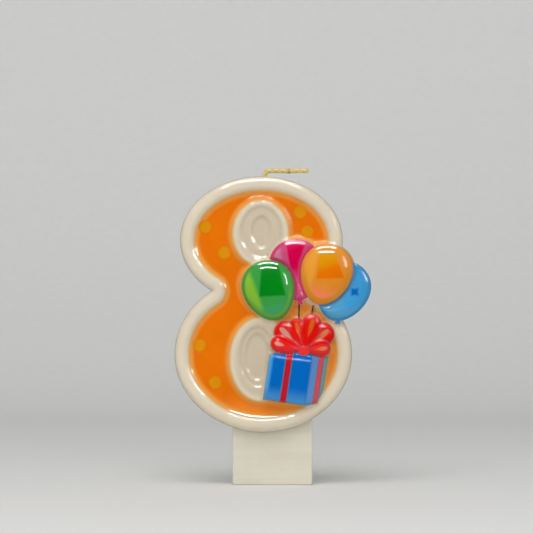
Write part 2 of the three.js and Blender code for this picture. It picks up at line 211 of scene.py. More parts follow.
def node(tree, kind, takes=None, **settings):
    """One shader node. takes gives its sockets a value, or the output that feeds them."""
    made = tree.nodes.new(kind)
    for key, value in settings.items():
        setattr(made, key, value)
    for key, value in (takes or {}).items():
        if isinstance(value, bpy.types.NodeSocket):
            tree.links.new(value, made.inputs[key])
        else:
            made.inputs[key].default_value = value
    return made


def mark(tree, name, part="Fac"):
    """A value stored on the mesh, such as the distance from a piece's edge in mm."""
    return node(tree, "ShaderNodeAttribute", attribute_name=name).outputs[part]


def between(tree, value, low, high):
    """A mask that goes smoothly from 0 at low to 1 at high."""
    made = node(
        tree,
        "ShaderNodeMapRange",
        {"Value": value, "From Min": low, "From Max": high},
        interpolation_type="SMOOTHSTEP",
    )
    return made.outputs["Result"]


def blended(tree, mask, under, over):
    """Colour under where the mask is 0 and colour over where it is 1."""
    made = node(tree, "ShaderNodeMix", {0: mask, 6: under, 7: over}, data_type="RGBA")
    return made.outputs[2]


def wax_grain_group():
    """Soft clouds in the colour, slow swells left by cooling, and a faint grain on top of them."""
    tree = bpy.data.node_groups.new("wax_grain", "ShaderNodeTree")
    for name, start in (("Cloud Size", 90.0), ("Swell Size", 260.0), ("Grain Share", 0.1)):
        tree.interface.new_socket(name, in_out="INPUT", socket_type="NodeSocketFloat").default_value = start
    for name in ("Cloud", "Height"):
        tree.interface.new_socket(name, in_out="OUTPUT", socket_type="NodeSocketFloat")
    came, went = tree.nodes.new("NodeGroupInput"), tree.nodes.new("NodeGroupOutput")
    spot = node(tree, "ShaderNodeTexCoord").outputs["Object"]
    cloud = node(
        tree, "ShaderNodeTexNoise", {"Vector": spot, "Scale": came.outputs["Cloud Size"], "Detail": 2.0}
    )
    swell = node(
        tree, "ShaderNodeTexNoise", {"Vector": spot, "Scale": came.outputs["Swell Size"], "Detail": 1.0}
    )
    grain = node(tree, "ShaderNodeTexNoise", {"Vector": spot, "Scale": 2600.0, "Detail": 2.0})
    height = node(
        tree,
        "ShaderNodeMath",
        {0: grain.outputs["Fac"], 1: came.outputs["Grain Share"], 2: swell.outputs["Fac"]},
        operation="MULTIPLY_ADD",
    )
    tree.links.new(cloud.outputs["Fac"], went.inputs["Cloud"])
    tree.links.new(height.outputs[0], went.inputs["Height"])
    return tree


wax_grain = wax_grain_group()


def wax(name, coloured, gloss=0.34, coat=1.0, swell=0.12, depth=0.0012, cloud=0.1):
    """Glossy wax that light sinks a little way into. coloured(tree) gives its colour over the piece."""
    made = bpy.data.materials.new(name)
    made.use_nodes = True
    tree = made.node_tree
    shader = tree.nodes["Principled BSDF"]
    grain = node(tree, "ShaderNodeGroup", node_tree=wax_grain)
    shade = node(
        tree,
        "ShaderNodeMapRange",
        {
            "Value": grain.outputs["Cloud"], "From Min": 0.3, "From Max": 0.7,
            "To Min": 1 - cloud, "To Max": 1.0,
        },
    )
    tinted = node(
        tree,
        "ShaderNodeMix",
        {0: 1.0, 6: coloured(tree), 7: shade.outputs["Result"]},
        data_type="RGBA",
        blend_type="MULTIPLY",
    )
    tree.links.new(tinted.outputs[2], shader.inputs["Base Color"])
    rough = node(
        tree,
        "ShaderNodeMapRange",
        {
            "Value": grain.outputs["Cloud"], "From Min": 0.3, "From Max": 0.7,
            "To Min": gloss, "To Max": gloss + 0.08,
        },
    )
    tree.links.new(rough.outputs["Result"], shader.inputs["Roughness"])
    bump = node(
        tree, "ShaderNodeBump", {"Height": grain.outputs["Height"], "Strength": 1.0, "Distance": swell * MM}
    )
    tree.links.new(bump.outputs["Normal"], shader.inputs["Normal"])
    shader.inputs["IOR"].default_value = 1.44
    shader.inputs["Specular IOR Level"].default_value = 0.04
    shader.inputs["Coat Weight"].default_value = coat
    shader.inputs["Coat Roughness"].default_value = 0.02
    shader.inputs["Coat IOR"].default_value = 1.5
    shader.inputs["Subsurface Weight"].default_value = 0.45
    shader.inputs["Subsurface Radius"].default_value = (1.0, 0.7, 0.45)
    shader.inputs["Subsurface Scale"].default_value = depth
    return made


def red_colours(tree):
    """Bright red on the crowns, pinker where the wax thins out at the edges and low on the bow, and
    the colour of the wax behind in each slit: orange in the middle, pale at the left. Darker streaks
    fan out from the knot."""
    split = node(tree, "ShaderNodeSeparateXYZ", {0: mark(tree, "place", "Vector")})
    left, up, slit = (split.outputs[i] for i in range(3))
    ray = node(tree, "ShaderNodeMath", {0: up, 1: left}, operation="ARCTAN2").outputs[0]
    streak = node(tree, "ShaderNodeTexNoise", {"W": ray, "Scale": 7.0, "Detail": 2.0}, noise_dimensions="1D")
    streaky = between(tree, streak.outputs["Fac"], 0.45, 0.62)
    red = blended(tree, streaky, paint(240, 22, 12), paint(230, 14, 14))
    red = blended(tree, between(tree, up, 2.6, -0.8), red, paint(232, 56, 58))
    red = blended(tree, between(tree, mark(tree, "edge"), 0.5, 0.1), red, paint(228, 62, 62))
    behind = blended(tree, between(tree, left, -3.0, -4.0), paint(232, 104, 30), paint(222, 158, 140))
    behind = blended(tree, between(tree, left, 3.4, 5.4), behind, paint(234, 132, 94))
    return blended(tree, between(tree, slit, -0.25, 0.2), red, behind)


red_wax = wax("red_wax", red_colours, depth=0.0007, cloud=0.25)
BOW = (8.4, 36.7)
FILLET = 0.45
bow_loops = [  # angle in degrees, length and width in mm, foremost first
    (165, 9.2, 4.8), (6, 7.3, 4.6), (73, 10.2, 5.6), (105, 8.9, 5.0), (40, 9.9, 6.4), (136, 10.0, 6.4),
]


def teardrop(start, end, width, count=48):
    """A closed outline from a point at start to a round end: half its width is sin(t) cos(t / 2)."""
    t = 2 * np.pi * (np.arange(count) + 0.5) / count
    across = width / 2 * np.sin(t) * np.abs(np.cos(t / 2)) / 0.77
    return np.column_stack([start + (end - start) * (1 + np.cos(t)) / 2, across])


loop_outlines = [placed(teardrop(0, length, width), *BOW, angle) for angle, length, width in bow_loops]


def knot_gap(x, z):
    """Distance inside the knot, a small oval where the loops meet."""
    return oval_gap(x, z, (BOW[0], BOW[1] - 0.2, 1.5, 1.2))


def bow_gap(x, z):
    """Distance inside the whole bow: the largest of the knot's and the loops' distances."""
    gap = knot_gap(x, z)
    for outline in loop_outlines:
        gap = np.maximum(gap, outline_gap(x, z, outline))
    return gap


def bow_loop(order, angle, length, width):
    """One loop of the bow. Its height falls by 1.1 mm to the bow's own edge, by 0.3 mm to the loop's,
    by up to 0.3 mm into its slit and by 0.2 mm towards the knot; each loop lies a little behind the
    last. The two lowest loops are seen from further round: their slits are shallow, the left one's far
    out."""
    outline = loop_outlines[order]
    slit = placed(teardrop((0.6 if order == 0 else 0.4) * length, 0.88 * length, 0.22 * width), *BOW, angle)
    deep = 0.12 if order < 2 else 0.3
    level = RIM + 3.2 - 0.16 * order

    def gap(x, z):
        return outline_gap(x, z, outline)

    def height(x, z):
        along, across = local(x, z, BOW, angle)
        edge = 1 - np.clip(bow_gap(x, z) / 2.1, 0, 1)
        seam = 1 - np.clip(gap(x, z) / 0.9, 0, 1)
        sunk = deep * eased(outline_gap(x, z, slit), -0.4, 0.3) + 0.2 * eased(along, 3.4, 0.4)
        return level - 1.1 * edge**2 - 0.3 * seam**2 - sunk

    def place(x, z):
        return x - BOW[0], z - BOW[1], outline_gap(x, z, slit)

    relief(
        f"bow_loop_wax_{order + 1}", outline.min(0) - 0.4, outline.max(0) + 0.4, 0.1, gap, height, 4.5, place,
        red_wax, [f"bow_loop_{order + 1}"],
    )


relief(
    "bow_knot_wax",
    (BOW[0] - 2, BOW[1] - 2),
    (BOW[0] + 2, BOW[1] + 2),
    0.08,
    knot_gap,
    lambda x, z: 8.85 + 0.15 * eased(knot_gap(x, z), 0, 1.1),
    4.5,
    lambda x, z: (x - BOW[0], z - BOW[1], np.full(x.shape, -1.0)),
    red_wax,
    ["bow_knot"],
)
for i, loop in enumerate(bow_loops):
    bow_loop(i, *loop)

# ---------------------------------------------------------------- balloons
# Four puffed eggs of coloured wax: green and orange in front, pink and blue behind them. Each is
# darker in a patch at its crown, as if a window showed in it, and paler along its left and lower
# sides. The rear ones sink to a valley where they meet the front ones.

FILLET = 1.1
HALF = (7.0, 8.3)
TAPER = 0.15


def egg_gap(x, z, centre, tilt):
    """Distance inside an egg: an oval's, once the taper towards the neck has been stretched out."""
    across, up = local(x, z, centre, tilt)
    return oval_gap(across / (1 + TAPER * np.clip(up / HALF[1], -1.1, 1.1)), up, (0, 0, *HALF))


def egg_place(x, z, centre, tilt):
    """Across and up in the egg's own frame, from -1 to 1 at its edges."""
    across, up = local(x, z, centre, tilt)
    up = up / HALF[1]
    return across / (HALF[0] * (1 + TAPER * np.clip(up, -1.2, 1.2))), up


def balloon(name, centre, tilt, crown, window, material, slot, nodes, neighbours=(), neck=None):
    """A balloon: a dome that rises from its edge by (1 - r r) to the power 0.6, r being 1 there.

    Beside a neighbour in front, it is held under a slope of 0.4 that starts at that one's edge. neck
    gives the angle at which the tied lip hangs and where it ends."""
    hang, end = neck or (0, -9.4)
    knot = placed(np.array([[-0.75, end], [0.75, end], [0.45, -7.7], [-0.45, -7.7]]), *centre, hang)

    def gap(x, z):
        egg = egg_gap(x, z, centre, tilt)
        return np.maximum(egg, outline_gap(x, z, knot)) if neck else egg

    def height(x, z):
        across, up = egg_place(x, z, centre, tilt)
        dome = np.clip(1 - across**2 - up**2, 0, 1) ** 0.6
        top = 7.3 + (crown - 7.3) * dome
        for other in neighbours:
            slope = 7.6 + 0.4 * np.clip(-egg_gap(x, z, *other), 0, REACH)
            top = np.where(top > slope, slope + 0.25 * (top - slope), top)
        return top

    def place(x, z):
        return *egg_place(x, z, centre, tilt), outline_gap(x, z, np.array(window, float))

    span = np.array([HALF[0] + 2.2, HALF[1] + 1.4])
    relief(
        name, centre - span, centre + span, 0.13, gap, height, 4.0, place, material, nodes,
    )


def balloon_wax(name, left, middle, low, patch, rim, patch_top=None, glow=None):
    """Balloon wax: pale down the left, a paler foot, a deep patch at the crown, a thin rim, and inside
    the rim a pale line along the lower right where the light comes out again."""

    def coloured(tree):
        split = node(tree, "ShaderNodeSeparateXYZ", {0: mark(tree, "place", "Vector")})
        across, up, inside = (split.outputs[i] for i in range(3))
        edge = mark(tree, "edge")
        slant = node(tree, "ShaderNodeMath", {0: across, 1: -0.6, 2: up}, operation="MULTIPLY_ADD").outputs[0]
        deep = blended(tree, between(tree, slant, 0.1, 0.5), patch, patch_top or patch)
        ground = blended(tree, between(tree, across, -0.58, -0.36), left, middle)
        ground = blended(tree, between(tree, up, -0.25, -0.75), ground, low)
        ground = blended(tree, between(tree, inside, -0.4, 0.35), ground, deep)
        ground = blended(tree, between(tree, up, -1.0, -1.03), ground, patch)
        pale = blended(tree, between(tree, up, 0.1, -0.4), ground, glow or left)
        ring = blended(tree, between(tree, edge, 2.0, 1.4), ground, pale)
        return blended(tree, between(tree, edge, 1.1, 0.5), ring, rim)

    return wax(name, coloured)


green_wax = balloon_wax(
    "green_wax", paint(138, 192, 60), paint(62, 162, 72), paint(72, 168, 108), paint(0, 136, 24),
    paint(66, 156, 70), glow=paint(112, 174, 66),
)
tangerine_wax = balloon_wax(
    "tangerine_wax", paint(234, 162, 58), paint(228, 146, 44), paint(252, 144, 92), paint(232, 118, 0),
    paint(232, 150, 62), paint(222, 150, 0), glow=paint(226, 152, 46),
)
magenta_wax = balloon_wax(
    "magenta_wax", paint(208, 132, 158), paint(208, 82, 130), paint(204, 82, 112), paint(212, 0, 80),
    paint(206, 66, 116), glow=paint(206, 82, 120),
)
sky_wax = balloon_wax(
    "sky_wax", paint(66, 152, 206), paint(66, 156, 212), paint(92, 168, 212), paint(0, 104, 180),
    paint(62, 144, 196), glow=paint(92, 160, 194),
)

GREEN, ORANGE = ((-0.874, 52.807), 17), ((14.426, 57.107), -15)  # each one's middle and its tilt
PINK, BLUE = ((6.326, 58.407), 7), ((18.926, 52.607), -24)
balloon(
    "green_balloon_wax", *GREEN, 10.5, [(-2.9, 59.7), (1.6, 59.7), (3.5, 51.6), (-3.6, 51.2)], green_wax,
    "green_wax", ["balloon_green"],
)
balloon(
    "orange_balloon_wax", *ORANGE, 10.5, [(12.8, 62.6), (16.8, 63.0), (19.2, 56.2), (11.8, 56.0)],
    tangerine_wax, "light_orange_wax", ["balloon_orange"],
)
balloon(
    "pink_balloon_wax", *PINK, 9.4,
    [
        (3.4, 67.2), (9.0, 66.2), (8.2, 63.5), (7.4, 60.3), (7.3, 55.0), (7.6, 51.0), (6.4, 51.0),
        (5.6, 55.6), (4.3, 61.3),
    ],
    magenta_wax, "pink_wax", ["balloon_pink", "knot_pink"], (GREEN, ORANGE), (7, -9.4),
)
balloon(
    "blue_balloon_wax", *BLUE, 9.4,
    [(21.3, 53.4), (22.3, 53.2), (23.1, 53.6), (22.9, 52.5), (23.2, 51.5), (22.2, 51.7), (21.2, 51.4)],
    sky_wax, "light_blue_wax", ["balloon_blue", "knot_blue"], (ORANGE,), (-9, -8.9),
)

# ---------------------------------------------------------------- ribbons and gift box
# A blue box seen a little from its right, tilted to the left: a square front, and a narrow side that
# falls away. Both are flat with soft edges. A crimson ribbon is let into each, slightly proud.

FILLET = 0.8
CORNER = (-0.8, 35.6)  # upper left corner of the front
TILT = -8.5
FRONT = (11.6, 12.3)
SIDE = (4.4, 1.1)
front_outline = placed(
    np.array([[0, -FRONT[1]], [FRONT[0], -FRONT[1]], [FRONT[0], 0], [0, 0]], float), *CORNER, TILT
)
box_outline = np.array(
    [
        front_outline[0],
        front_outline[1],
        front_outline[1] + np.multiply(SIDE, 0.735),
        front_outline[1] + SIDE + [0.5, 3.36],
        front_outline[2] + SIDE,
        front_outline[3] + SIDE,
        front_outline[3],
    ]
)


def box_gap(x, z):
    return outline_gap(x, z, box_outline)


def box_height(x, z):
    """The front is level and the side falls by a fifth of the way along it; both round off over 0.9 mm."""
    along, _ = local(x, z, CORNER, TILT)
    past = np.clip(along - FRONT[0], 0, 5)
    edge = 1 - np.clip(box_gap(x, z) / 0.9, 0, 1)
    lid = 1 - np.clip(outline_gap(x, z, front_outline) / 0.7, 0, 1)
    return 9.1 - 0.9 * edge**2.2 - 0.4 * lid**2 - 0.16 * past


def box_place(x, z):
    across, up = local(x, z, CORNER, TILT)
    return across, up, np.zeros_like(x)


def ribbon(name, middle, width, nodes):
    """A strip down the box, 0.15 mm proud, its edges rounded over 0.3 mm."""

    def gap(x, z):
        along, _ = local(x, z, CORNER, TILT)
        return np.minimum(width / 2 - np.abs(along - middle), box_gap(x, z) + 0.1)

    def height(x, z):
        return box_height(x, z) + 0.15 * (1 - (1 - np.clip(gap(x, z) / 0.3, 0, 1)) ** 2)

    relief(
        name, box_outline.min(0) - 0.6, box_outline.max(0) + 0.6, 0.1, gap, height, 7.0, box_place,
        crimson_wax, nodes,
    )


def crimson_colours(tree):
    """Deep crimson on the front, and a paler red on the side of the box, where the ribbon is thinner."""
    split = node(tree, "ShaderNodeSeparateXYZ", {0: mark(tree, "place", "Vector")})
    on_side = between(tree, split.outputs[0], 11.0, 12.0)
    red = blended(tree, on_side, paint(186, 30, 54), paint(206, 84, 96))
    return blended(tree, between(tree, mark(tree, "edge"), 0.0, 0.35), paint(196, 74, 88), red)


def box_colours(tree):
    """Deep blue, with a light band down the left of the front and of the side, a paler lower end,
    and grey-green at the far end of the side."""
    split = node(tree, "ShaderNodeSeparateXYZ", {0: mark(tree, "place", "Vector")})
    across, up = split.outputs[0], split.outputs[1]
    light, deep = paint(74, 168, 232), paint(0, 108, 196)
    front = blended(tree, between(tree, across, 0.5, 1.6), light, deep)
    front = blended(tree, between(tree, up, -7.6, -11.6), front, paint(68, 142, 202))
    side = blended(tree, between(tree, across, 13.4, 14.6), paint(96, 142, 198), paint(112, 156, 156))
    whole = blended(tree, between(tree, across, 11.1, 11.9), front, side)
    return blended(tree, between(tree, mark(tree, "edge"), 0.3, 0.0), whole, paint(70, 140, 160))


crimson_wax = wax("crimson_wax", crimson_colours, depth=0.0005)
box_wax = wax("box_wax", box_colours, depth=0.0007)


FILLET = 0.15
ribbon("front_ribbon_wax", 0.465 * FRONT[0], 1.75, ["ribbon_front"])
ribbon("side_ribbon_wax", FRONT[0] + 0.55 * SIDE[0], 1.35, ["ribbon_side"])
FILLET = 0.8
relief(
    "gift_box_wax", box_outline.min(0) - 0.6, box_outline.max(0) + 0.6, 0.12, box_gap, box_height, 4.5,
    box_place, box_wax, ["gift_box"],
)

# ---------------------------------------------------------------- strings
# Two thin near-black lines of wax, from the pink and the orange balloon down to the bow.

FILLET = 0.12


def string_colours(tree):
    """Near black, browner at its very edges where the wax thins."""
    return blended(tree, between(tree, mark(tree, "edge"), 0.0, 0.12), paint(70, 16, 10), paint(34, 4, 8))


string_wax = wax("string_wax", string_colours, coat=0.2, depth=0.0002)


def string(name, start, end, nodes):
    """A straight ridge with a round top, 0.34 mm wide."""
    run = np.array(end) - start
    length = np.hypot(*run)

    def gap(x, z):
        along = ((x - start[0]) * run[0] + (z - start[1]) * run[1]) / length
        across = ((x - start[0]) * run[1] - (z - start[1]) * run[0]) / length
        return np.minimum(0.17 - np.abs(across), np.minimum(along + 0.2, length - along))

    def height(x, z):
        return 6.2 + 0.7 * eased(z, 46.0, 49.0) + 0.3 * np.sqrt(np.clip(gap(x, z) / 0.17, 0, 1))

    low, high = np.minimum(start, end) - 0.5, np.maximum(start, end) + 0.5
    relief(name, low, high, 0.05, gap, height, 4.5, None, string_wax, nodes)


string("pink_string_wax", (7.2, 49.6), (7.15, 44.4), ["string_pink"])
string("orange_string_wax", (11.0, 48.6), (10.3, 45.6), ["string_orange"])

# ---------------------------------------------------------------- golden dots
# Small discs of golden wax, level with the orange band and let into it, their edges blurred a little
# where the two waxes ran together.

FILLET = 0.3
THIN = False
LOWER = (-2.5, 35.6, 24.0, 21.0)  # the numeral's loops: x, z, half width, half height
UPPER = (-3.0, 66.4, 22.0, 17.3)


def gold_colours(tree):
    """Gold, more orange round its edge where it ran into the band."""
    return blended(tree, between(tree, mark(tree, "edge"), 0.0, 0.4), paint(230, 130, 8), paint(224, 146, 12))


gold_wax = wax("gold_wax", gold_colours)
dots = [
    (UPPER, -15.2, 3.6), (UPPER, -10.0, -3.4), (UPPER, 10.5, 7.6), (UPPER, 12.4, 2.3),
    (LOWER, -17.2, 2.4), (LOWER, -13.0, -7.7),
]

RIM_WIDTH = 3.8
COUNTERS = [(-3.2, 68.3, 7.5, 8.7), (-3.1, 34.2, 8.4, 11.3)]
DISHES = [
    [(-3.0, 68.6, 5.4, 6.9), (-3.0, 68.6, 2.5, 4.1)],
    [(-4.1, 34.9, 4.6, 7.9), (-4.1, 34.9, 3.0, 6.1)],
]


def loop_point(loop, t):
    """Points of a loop's oval (x, z, half width, half height) at angles t."""
    return np.column_stack([loop[0] + loop[2] * np.cos(t), loop[1] + loop[3] * np.sin(t)])


def numeral_outline(count=150):
    """The two loops' ovals, each without the stretch that lies inside the other."""
    t = np.linspace(0, 2 * np.pi, 4 * count, endpoint=False)
    over = loop_point(UPPER, t - np.pi / 2)
    under = loop_point(LOWER, t + np.pi / 2)
    over = over[oval_gap(*over.T, LOWER) < 0]
    under = under[oval_gap(*under.T, UPPER) < 0]
    return np.concatenate([over[::2], under[::2]])


numeral = numeral_outline()


def base_height(x, z):
    """The face under the reliefs. It falls from the rim to the band between 2.3 and 5 mm inside the
    outline, rises again to each counter's ring, and falls in two soft steps to each dish."""
    inside = outline_gap(x, z, numeral)
    low = eased(inside, 2.3, 5.0)
    dish = 0
    for counter, steps in zip(COUNTERS, DISHES):
        low = low * (1 - eased(oval_gap(x, z, counter), -1.8, 0.5))
        for step in steps:
            dish = dish + 0.55 * eased(oval_gap(x, z, step), -0.8, 0.6)
    return RIM - (RIM - BAND) * low - dish


for i, (loop, dx, dz) in enumerate(dots):
    spot = (loop[0] + dx, loop[1] + dz, 1.75, 1.75)
    relief(
        f"dot_wax_{i + 1}",
        (spot[0] - 2.3, spot[1] - 2.3),
        (spot[0] + 2.3, spot[1] + 2.3),
        0.12,
        lambda x, z, spot=spot: oval_gap(x, z, spot),
        lambda x, z: base_height(x, z) + 0.02,
        4.6,
        None,
        gold_wax,
        [f"dot_{i + 1}"],
    )

# ---------------------------------------------------------------- orange band
# The band of orange wax between the rim and the two counters. It is deep orange where it is thick,
# and lets the white through where it thins out up the slopes and round the reliefs.

THIN = True


def orange_colours(tree):
    """Deep orange, paler at its edges, and paler towards the lowest part of the band as a painted milky
    reflection.
    """
    edge = mark(tree, "edge")
    spot = node(tree, "ShaderNodeTexCoord").outputs["Object"]
    height = node(tree, "ShaderNodeSeparateXYZ", {0: spot}).outputs[2]
    # Painted reflection: the deep orange turns paler and milkier towards the lowest part of the band.
    deep = blended(tree, between(tree, height, 0.026, 0.019), paint(233, 118, 4), paint(240, 138, 46))
    slope = blended(tree, between(tree, edge, 0.0, 0.5), paint(236, 182, 118), paint(236, 160, 74))
    return blended(tree, between(tree, edge, 0.5, 1.9), slope, deep)


orange_wax = wax("orange_wax", orange_colours)


def band_gap(x, z):
    """Distance inside the band: past the rim's width from the outline, and outside both counters."""
    gap = outline_gap(x, z, numeral) - RIM_WIDTH
    for counter in COUNTERS:
        gap = np.minimum(gap, -oval_gap(x, z, counter))
    return gap


relief(
    "orange_band_wax", (-23.5, 17.5), (18.5, 80.8), 0.2, band_gap, base_height, 4.3, None, orange_wax,
    ["orange_band"],
)

# ---------------------------------------------------------------- white numeral
# White paraffin wax, poured last over the coloured waxes, so it is one solid behind them all. Its
# rim is rounded, its back is flat, and it carries the two balloons that reach past the numeral.
# Warm light from the orange comes through it close to the band.


def shape_reach(angle, start):
    """Distance from a point inside the numeral to the outline of numeral and balloons, by halving."""
    near, far = np.zeros_like(angle), np.full_like(angle, 50.0)
    for _ in range(24):
        middle = (near + far) / 2
        x, z = start[0] + middle * np.cos(angle), start[1] + middle * np.sin(angle)
        inside = (oval_gap(x, z, UPPER) > 0) | (oval_gap(x, z, LOWER) > 0)
        for (centre, tilt), backing in ((ORANGE, 0.45), (BLUE, 0.12)):
            across, up = local(x, z, centre, tilt)
            a, b = HALF[0] + backing, HALF[1] + backing
            inside |= (across / (a * (1 + TAPER * np.clip(up / b, -1, 1)))) ** 2 + (up / b) ** 2 < 1
        near, far = np.where(inside, middle, near), np.where(inside, far, middle)
    return near


def skin(name, rows, first, last, material, nodes, marks):
    """A closed skin over rings of points, ring after ring, with a pole at each end."""
    r, n = rows.shape[:2]
    ring = np.arange(r * n).reshape(r, n)
    after = np.roll(ring, -1, 1)
    quads = np.stack([ring[:-1], after[:-1], after[1:], ring[1:]], -1).reshape(-1, 4)
    opening = np.stack([after[0], ring[0], np.full(n, r * n)], -1)
    closing = np.stack([ring[-1], after[-1], np.full(n, r * n + 1)], -1)
    loops = np.concatenate([quads.ravel(), opening.ravel(), closing.ravel()])
    sizes = np.concatenate([np.full(len(quads), 4), np.full(2 * n, 3)])
    points = np.concatenate([rows.reshape(-1, 3), [first, last]])
    return finished(name, points, loops, sizes, material, nodes, marks)


ROUNDING = 1.9  # radius of the numeral's front edge
BACK = 3.0  # depth of its flat back behind the frame's XZ plane


def numeral_rows(columns=620):
    """Rings from the middle of the back, out to the edge, round it, and in to the middle of the face.

    A ring's points lie on rays from the numeral's waist. On the face their height is the moulded
    height, less a quarter circle of 1.9 mm at the edge; under a coloured piece they dip out of sight."""
    start = np.array([-2.7, 52.9])
    fine = np.linspace(0, 2 * np.pi, 6000, endpoint=False)
    far = shape_reach(fine, start)
    edge = start + far[:, None] * np.column_stack([np.cos(fine), np.sin(fine)])
    run = np.concatenate([[0], np.cumsum(np.hypot(*np.diff(edge, axis=0).T))])
    angle = np.interp(np.linspace(0, run[-1], columns, endpoint=False), run, fine)
    far = shape_reach(angle, start)
    ray = np.column_stack([np.cos(angle), np.sin(angle)])
    outline = start + far[:, None] * ray
    turn = np.sin(np.linspace(0, np.pi / 2, 9))
    near_edge = np.concatenate([ROUNDING * (1 - turn[::-1]), np.arange(ROUNDING + 0.2, 6.0, 0.2)])
    inner = 6.0 / far[:, None] + (1 - 6.0 / far[:, None]) * np.linspace(0, 0.995, 108)
    share = np.concatenate([near_edge[None] / far[:, None], inner], 1).T
    x = start[0] + (1 - share) * far * ray[:, 0]
    z = start[1] + (1 - share) * far * ray[:, 1]
    gap = np.full(x.shape, REACH)
    gap[:30] = np.clip(outline_gap(x[:30], z[:30], outline), 0, REACH)
    short = np.clip(ROUNDING - gap, 0, ROUNDING)
    rounding = ROUNDING - np.sqrt(np.clip(ROUNDING**2 - short**2, 0, None))
    height, _, visible = settle(x, z, gap + 1, base_height(x, z))
    height = height - rounding - 0.05 * (visible < 0) - np.clip(-visible - 0.4, 0, 0.6)
    in_counter = np.maximum(*(oval_gap(x, z, counter) for counter in COUNTERS))
    face = np.stack([x, -height, z], -1)
    shrink = np.array([0.04, 0.3, 0.6, 0.85, 0.97, 0.992, 1.0, 1.0, 1.0, 1.0])
    depth = BACK - np.array([0.0, 0.0, 0.0, 0.0, 0.0, 0.1, 0.4, 2.0, 4.5, 7.0])
    behind = start + shrink[:, None, None] * far[:, None] * ray
    back = np.concatenate(
        [behind[..., :1], np.broadcast_to(depth[:, None, None], (10, columns, 1)), behind[..., 1:]], -1
    )
    rows = np.concatenate([back, face])
    marks = {}
    for key, value, at_back in (("edge", visible, REACH), ("counter", in_counter, -REACH)):
        whole = np.concatenate([np.full((10, columns), at_back), value]).ravel()
        marks[key] = np.append(whole, [at_back, value[-1].mean()])
    return rows, marks, start, height[-1].mean()


def white_colours(tree):
    """Warm beside the coloured waxes, and a little greyer down in the two counters: painted shade in those
    hollows.
    """
    # Painted shade: the white turns a little greyer down in the counters' dishes.
    sunk = between(tree, mark(tree, "counter"), 0.3, 2.2)
    white = blended(tree, sunk, paint(222, 211, 190), paint(208, 194, 172))
    return blended(tree, between(tree, mark(tree, "edge"), -0.1, 0.7), paint(228, 198, 158), white)


white_wax = wax("white_wax", white_colours, depth=0.002, cloud=0.06)
rows, marks, middle, inmost = numeral_rows()
white = skin(
    "white_numeral_wax",
    rows,
    (middle[0], BACK, middle[1]),
    (middle[0], -inmost, middle[1]),
    white_wax,
    ["wax_body"],
    marks,
)
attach(white, "candle")

# ---------------------------------------------------------------- foot
# A flat tab of the same wax, cast thinner and left dull. Its lower end is pushed into the cake, and
# its upper end runs into the numeral. Its faces carry faint lines across, from the mould.


def foot_colours(tree):
    """Off-white, with faint level lines: noise squeezed along the height."""
    spot = node(tree, "ShaderNodeTexCoord").outputs["Object"]
    streaks = node(tree, "ShaderNodeMapping", {"Vector": spot, "Scale": (40.0, 40.0, 900.0)})
    lines = node(tree, "ShaderNodeTexNoise", {"Vector": streaks.outputs[0], "Scale": 1.0, "Detail": 3.0})
    faint = between(tree, lines.outputs["Fac"], 0.3, 0.7)
    return blended(tree, faint, paint(213, 208, 191), paint(218, 213, 197))


def foot_rows():
    """Rounded rectangles stacked up the tab, drawn in over the lowest 0.5 mm to round that end.

    Each of a ring's four runs slides along a side of the rectangle's core, then turns round its corner,
    and stands off from the core by the corner's radius."""
    side = np.arange(4)[:, None] * np.pi / 2
    slide = np.concatenate([np.linspace(-1, 1, 13)[:-1], np.ones(9)])
    turn = (side + np.concatenate([np.zeros(12), np.linspace(0, np.pi / 2, 10)[:-1]])).ravel()
    across = (np.cos(side) - slide * np.sin(side)).ravel()
    deep = (np.sin(side) + slide * np.cos(side)).ravel()
    z = np.array([0.0, 0.0, 0.04, 0.14, 0.3, 0.5, 2, 4, 6, 8, 10, 12, 14, 16, 18, 20.5])[:, None]
    inset = np.array([2.0, 0.45, 0.28, 0.14, 0.04] + [0.0] * 11)[:, None]
    x = (10.3 - inset) * across + 0.5 * np.cos(turn)
    y = (2.45 - inset) * deep + 0.5 * np.sin(turn) - 0.05
    return np.stack([x, y, np.broadcast_to(z, x.shape)], -1)


foot_wax = wax("foot_wax", foot_colours, gloss=0.42, coat=0.0, depth=0.002, cloud=0.05)
foot = skin(
    "foot_wax_tab", foot_rows(), (0, -0.05, 0), (0, -0.05, 20.5), foot_wax, ["foot_tab"], {}
)
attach(foot, "candle")

# ---------------------------------------------------------------- wick
# A braided cotton cord stiffened with wax. It comes out of the top of the numeral, bends over to the
# right, and is straightened by hand before it is lit.

PIVOT = np.array([-2.1, -1.75, 85.28552])


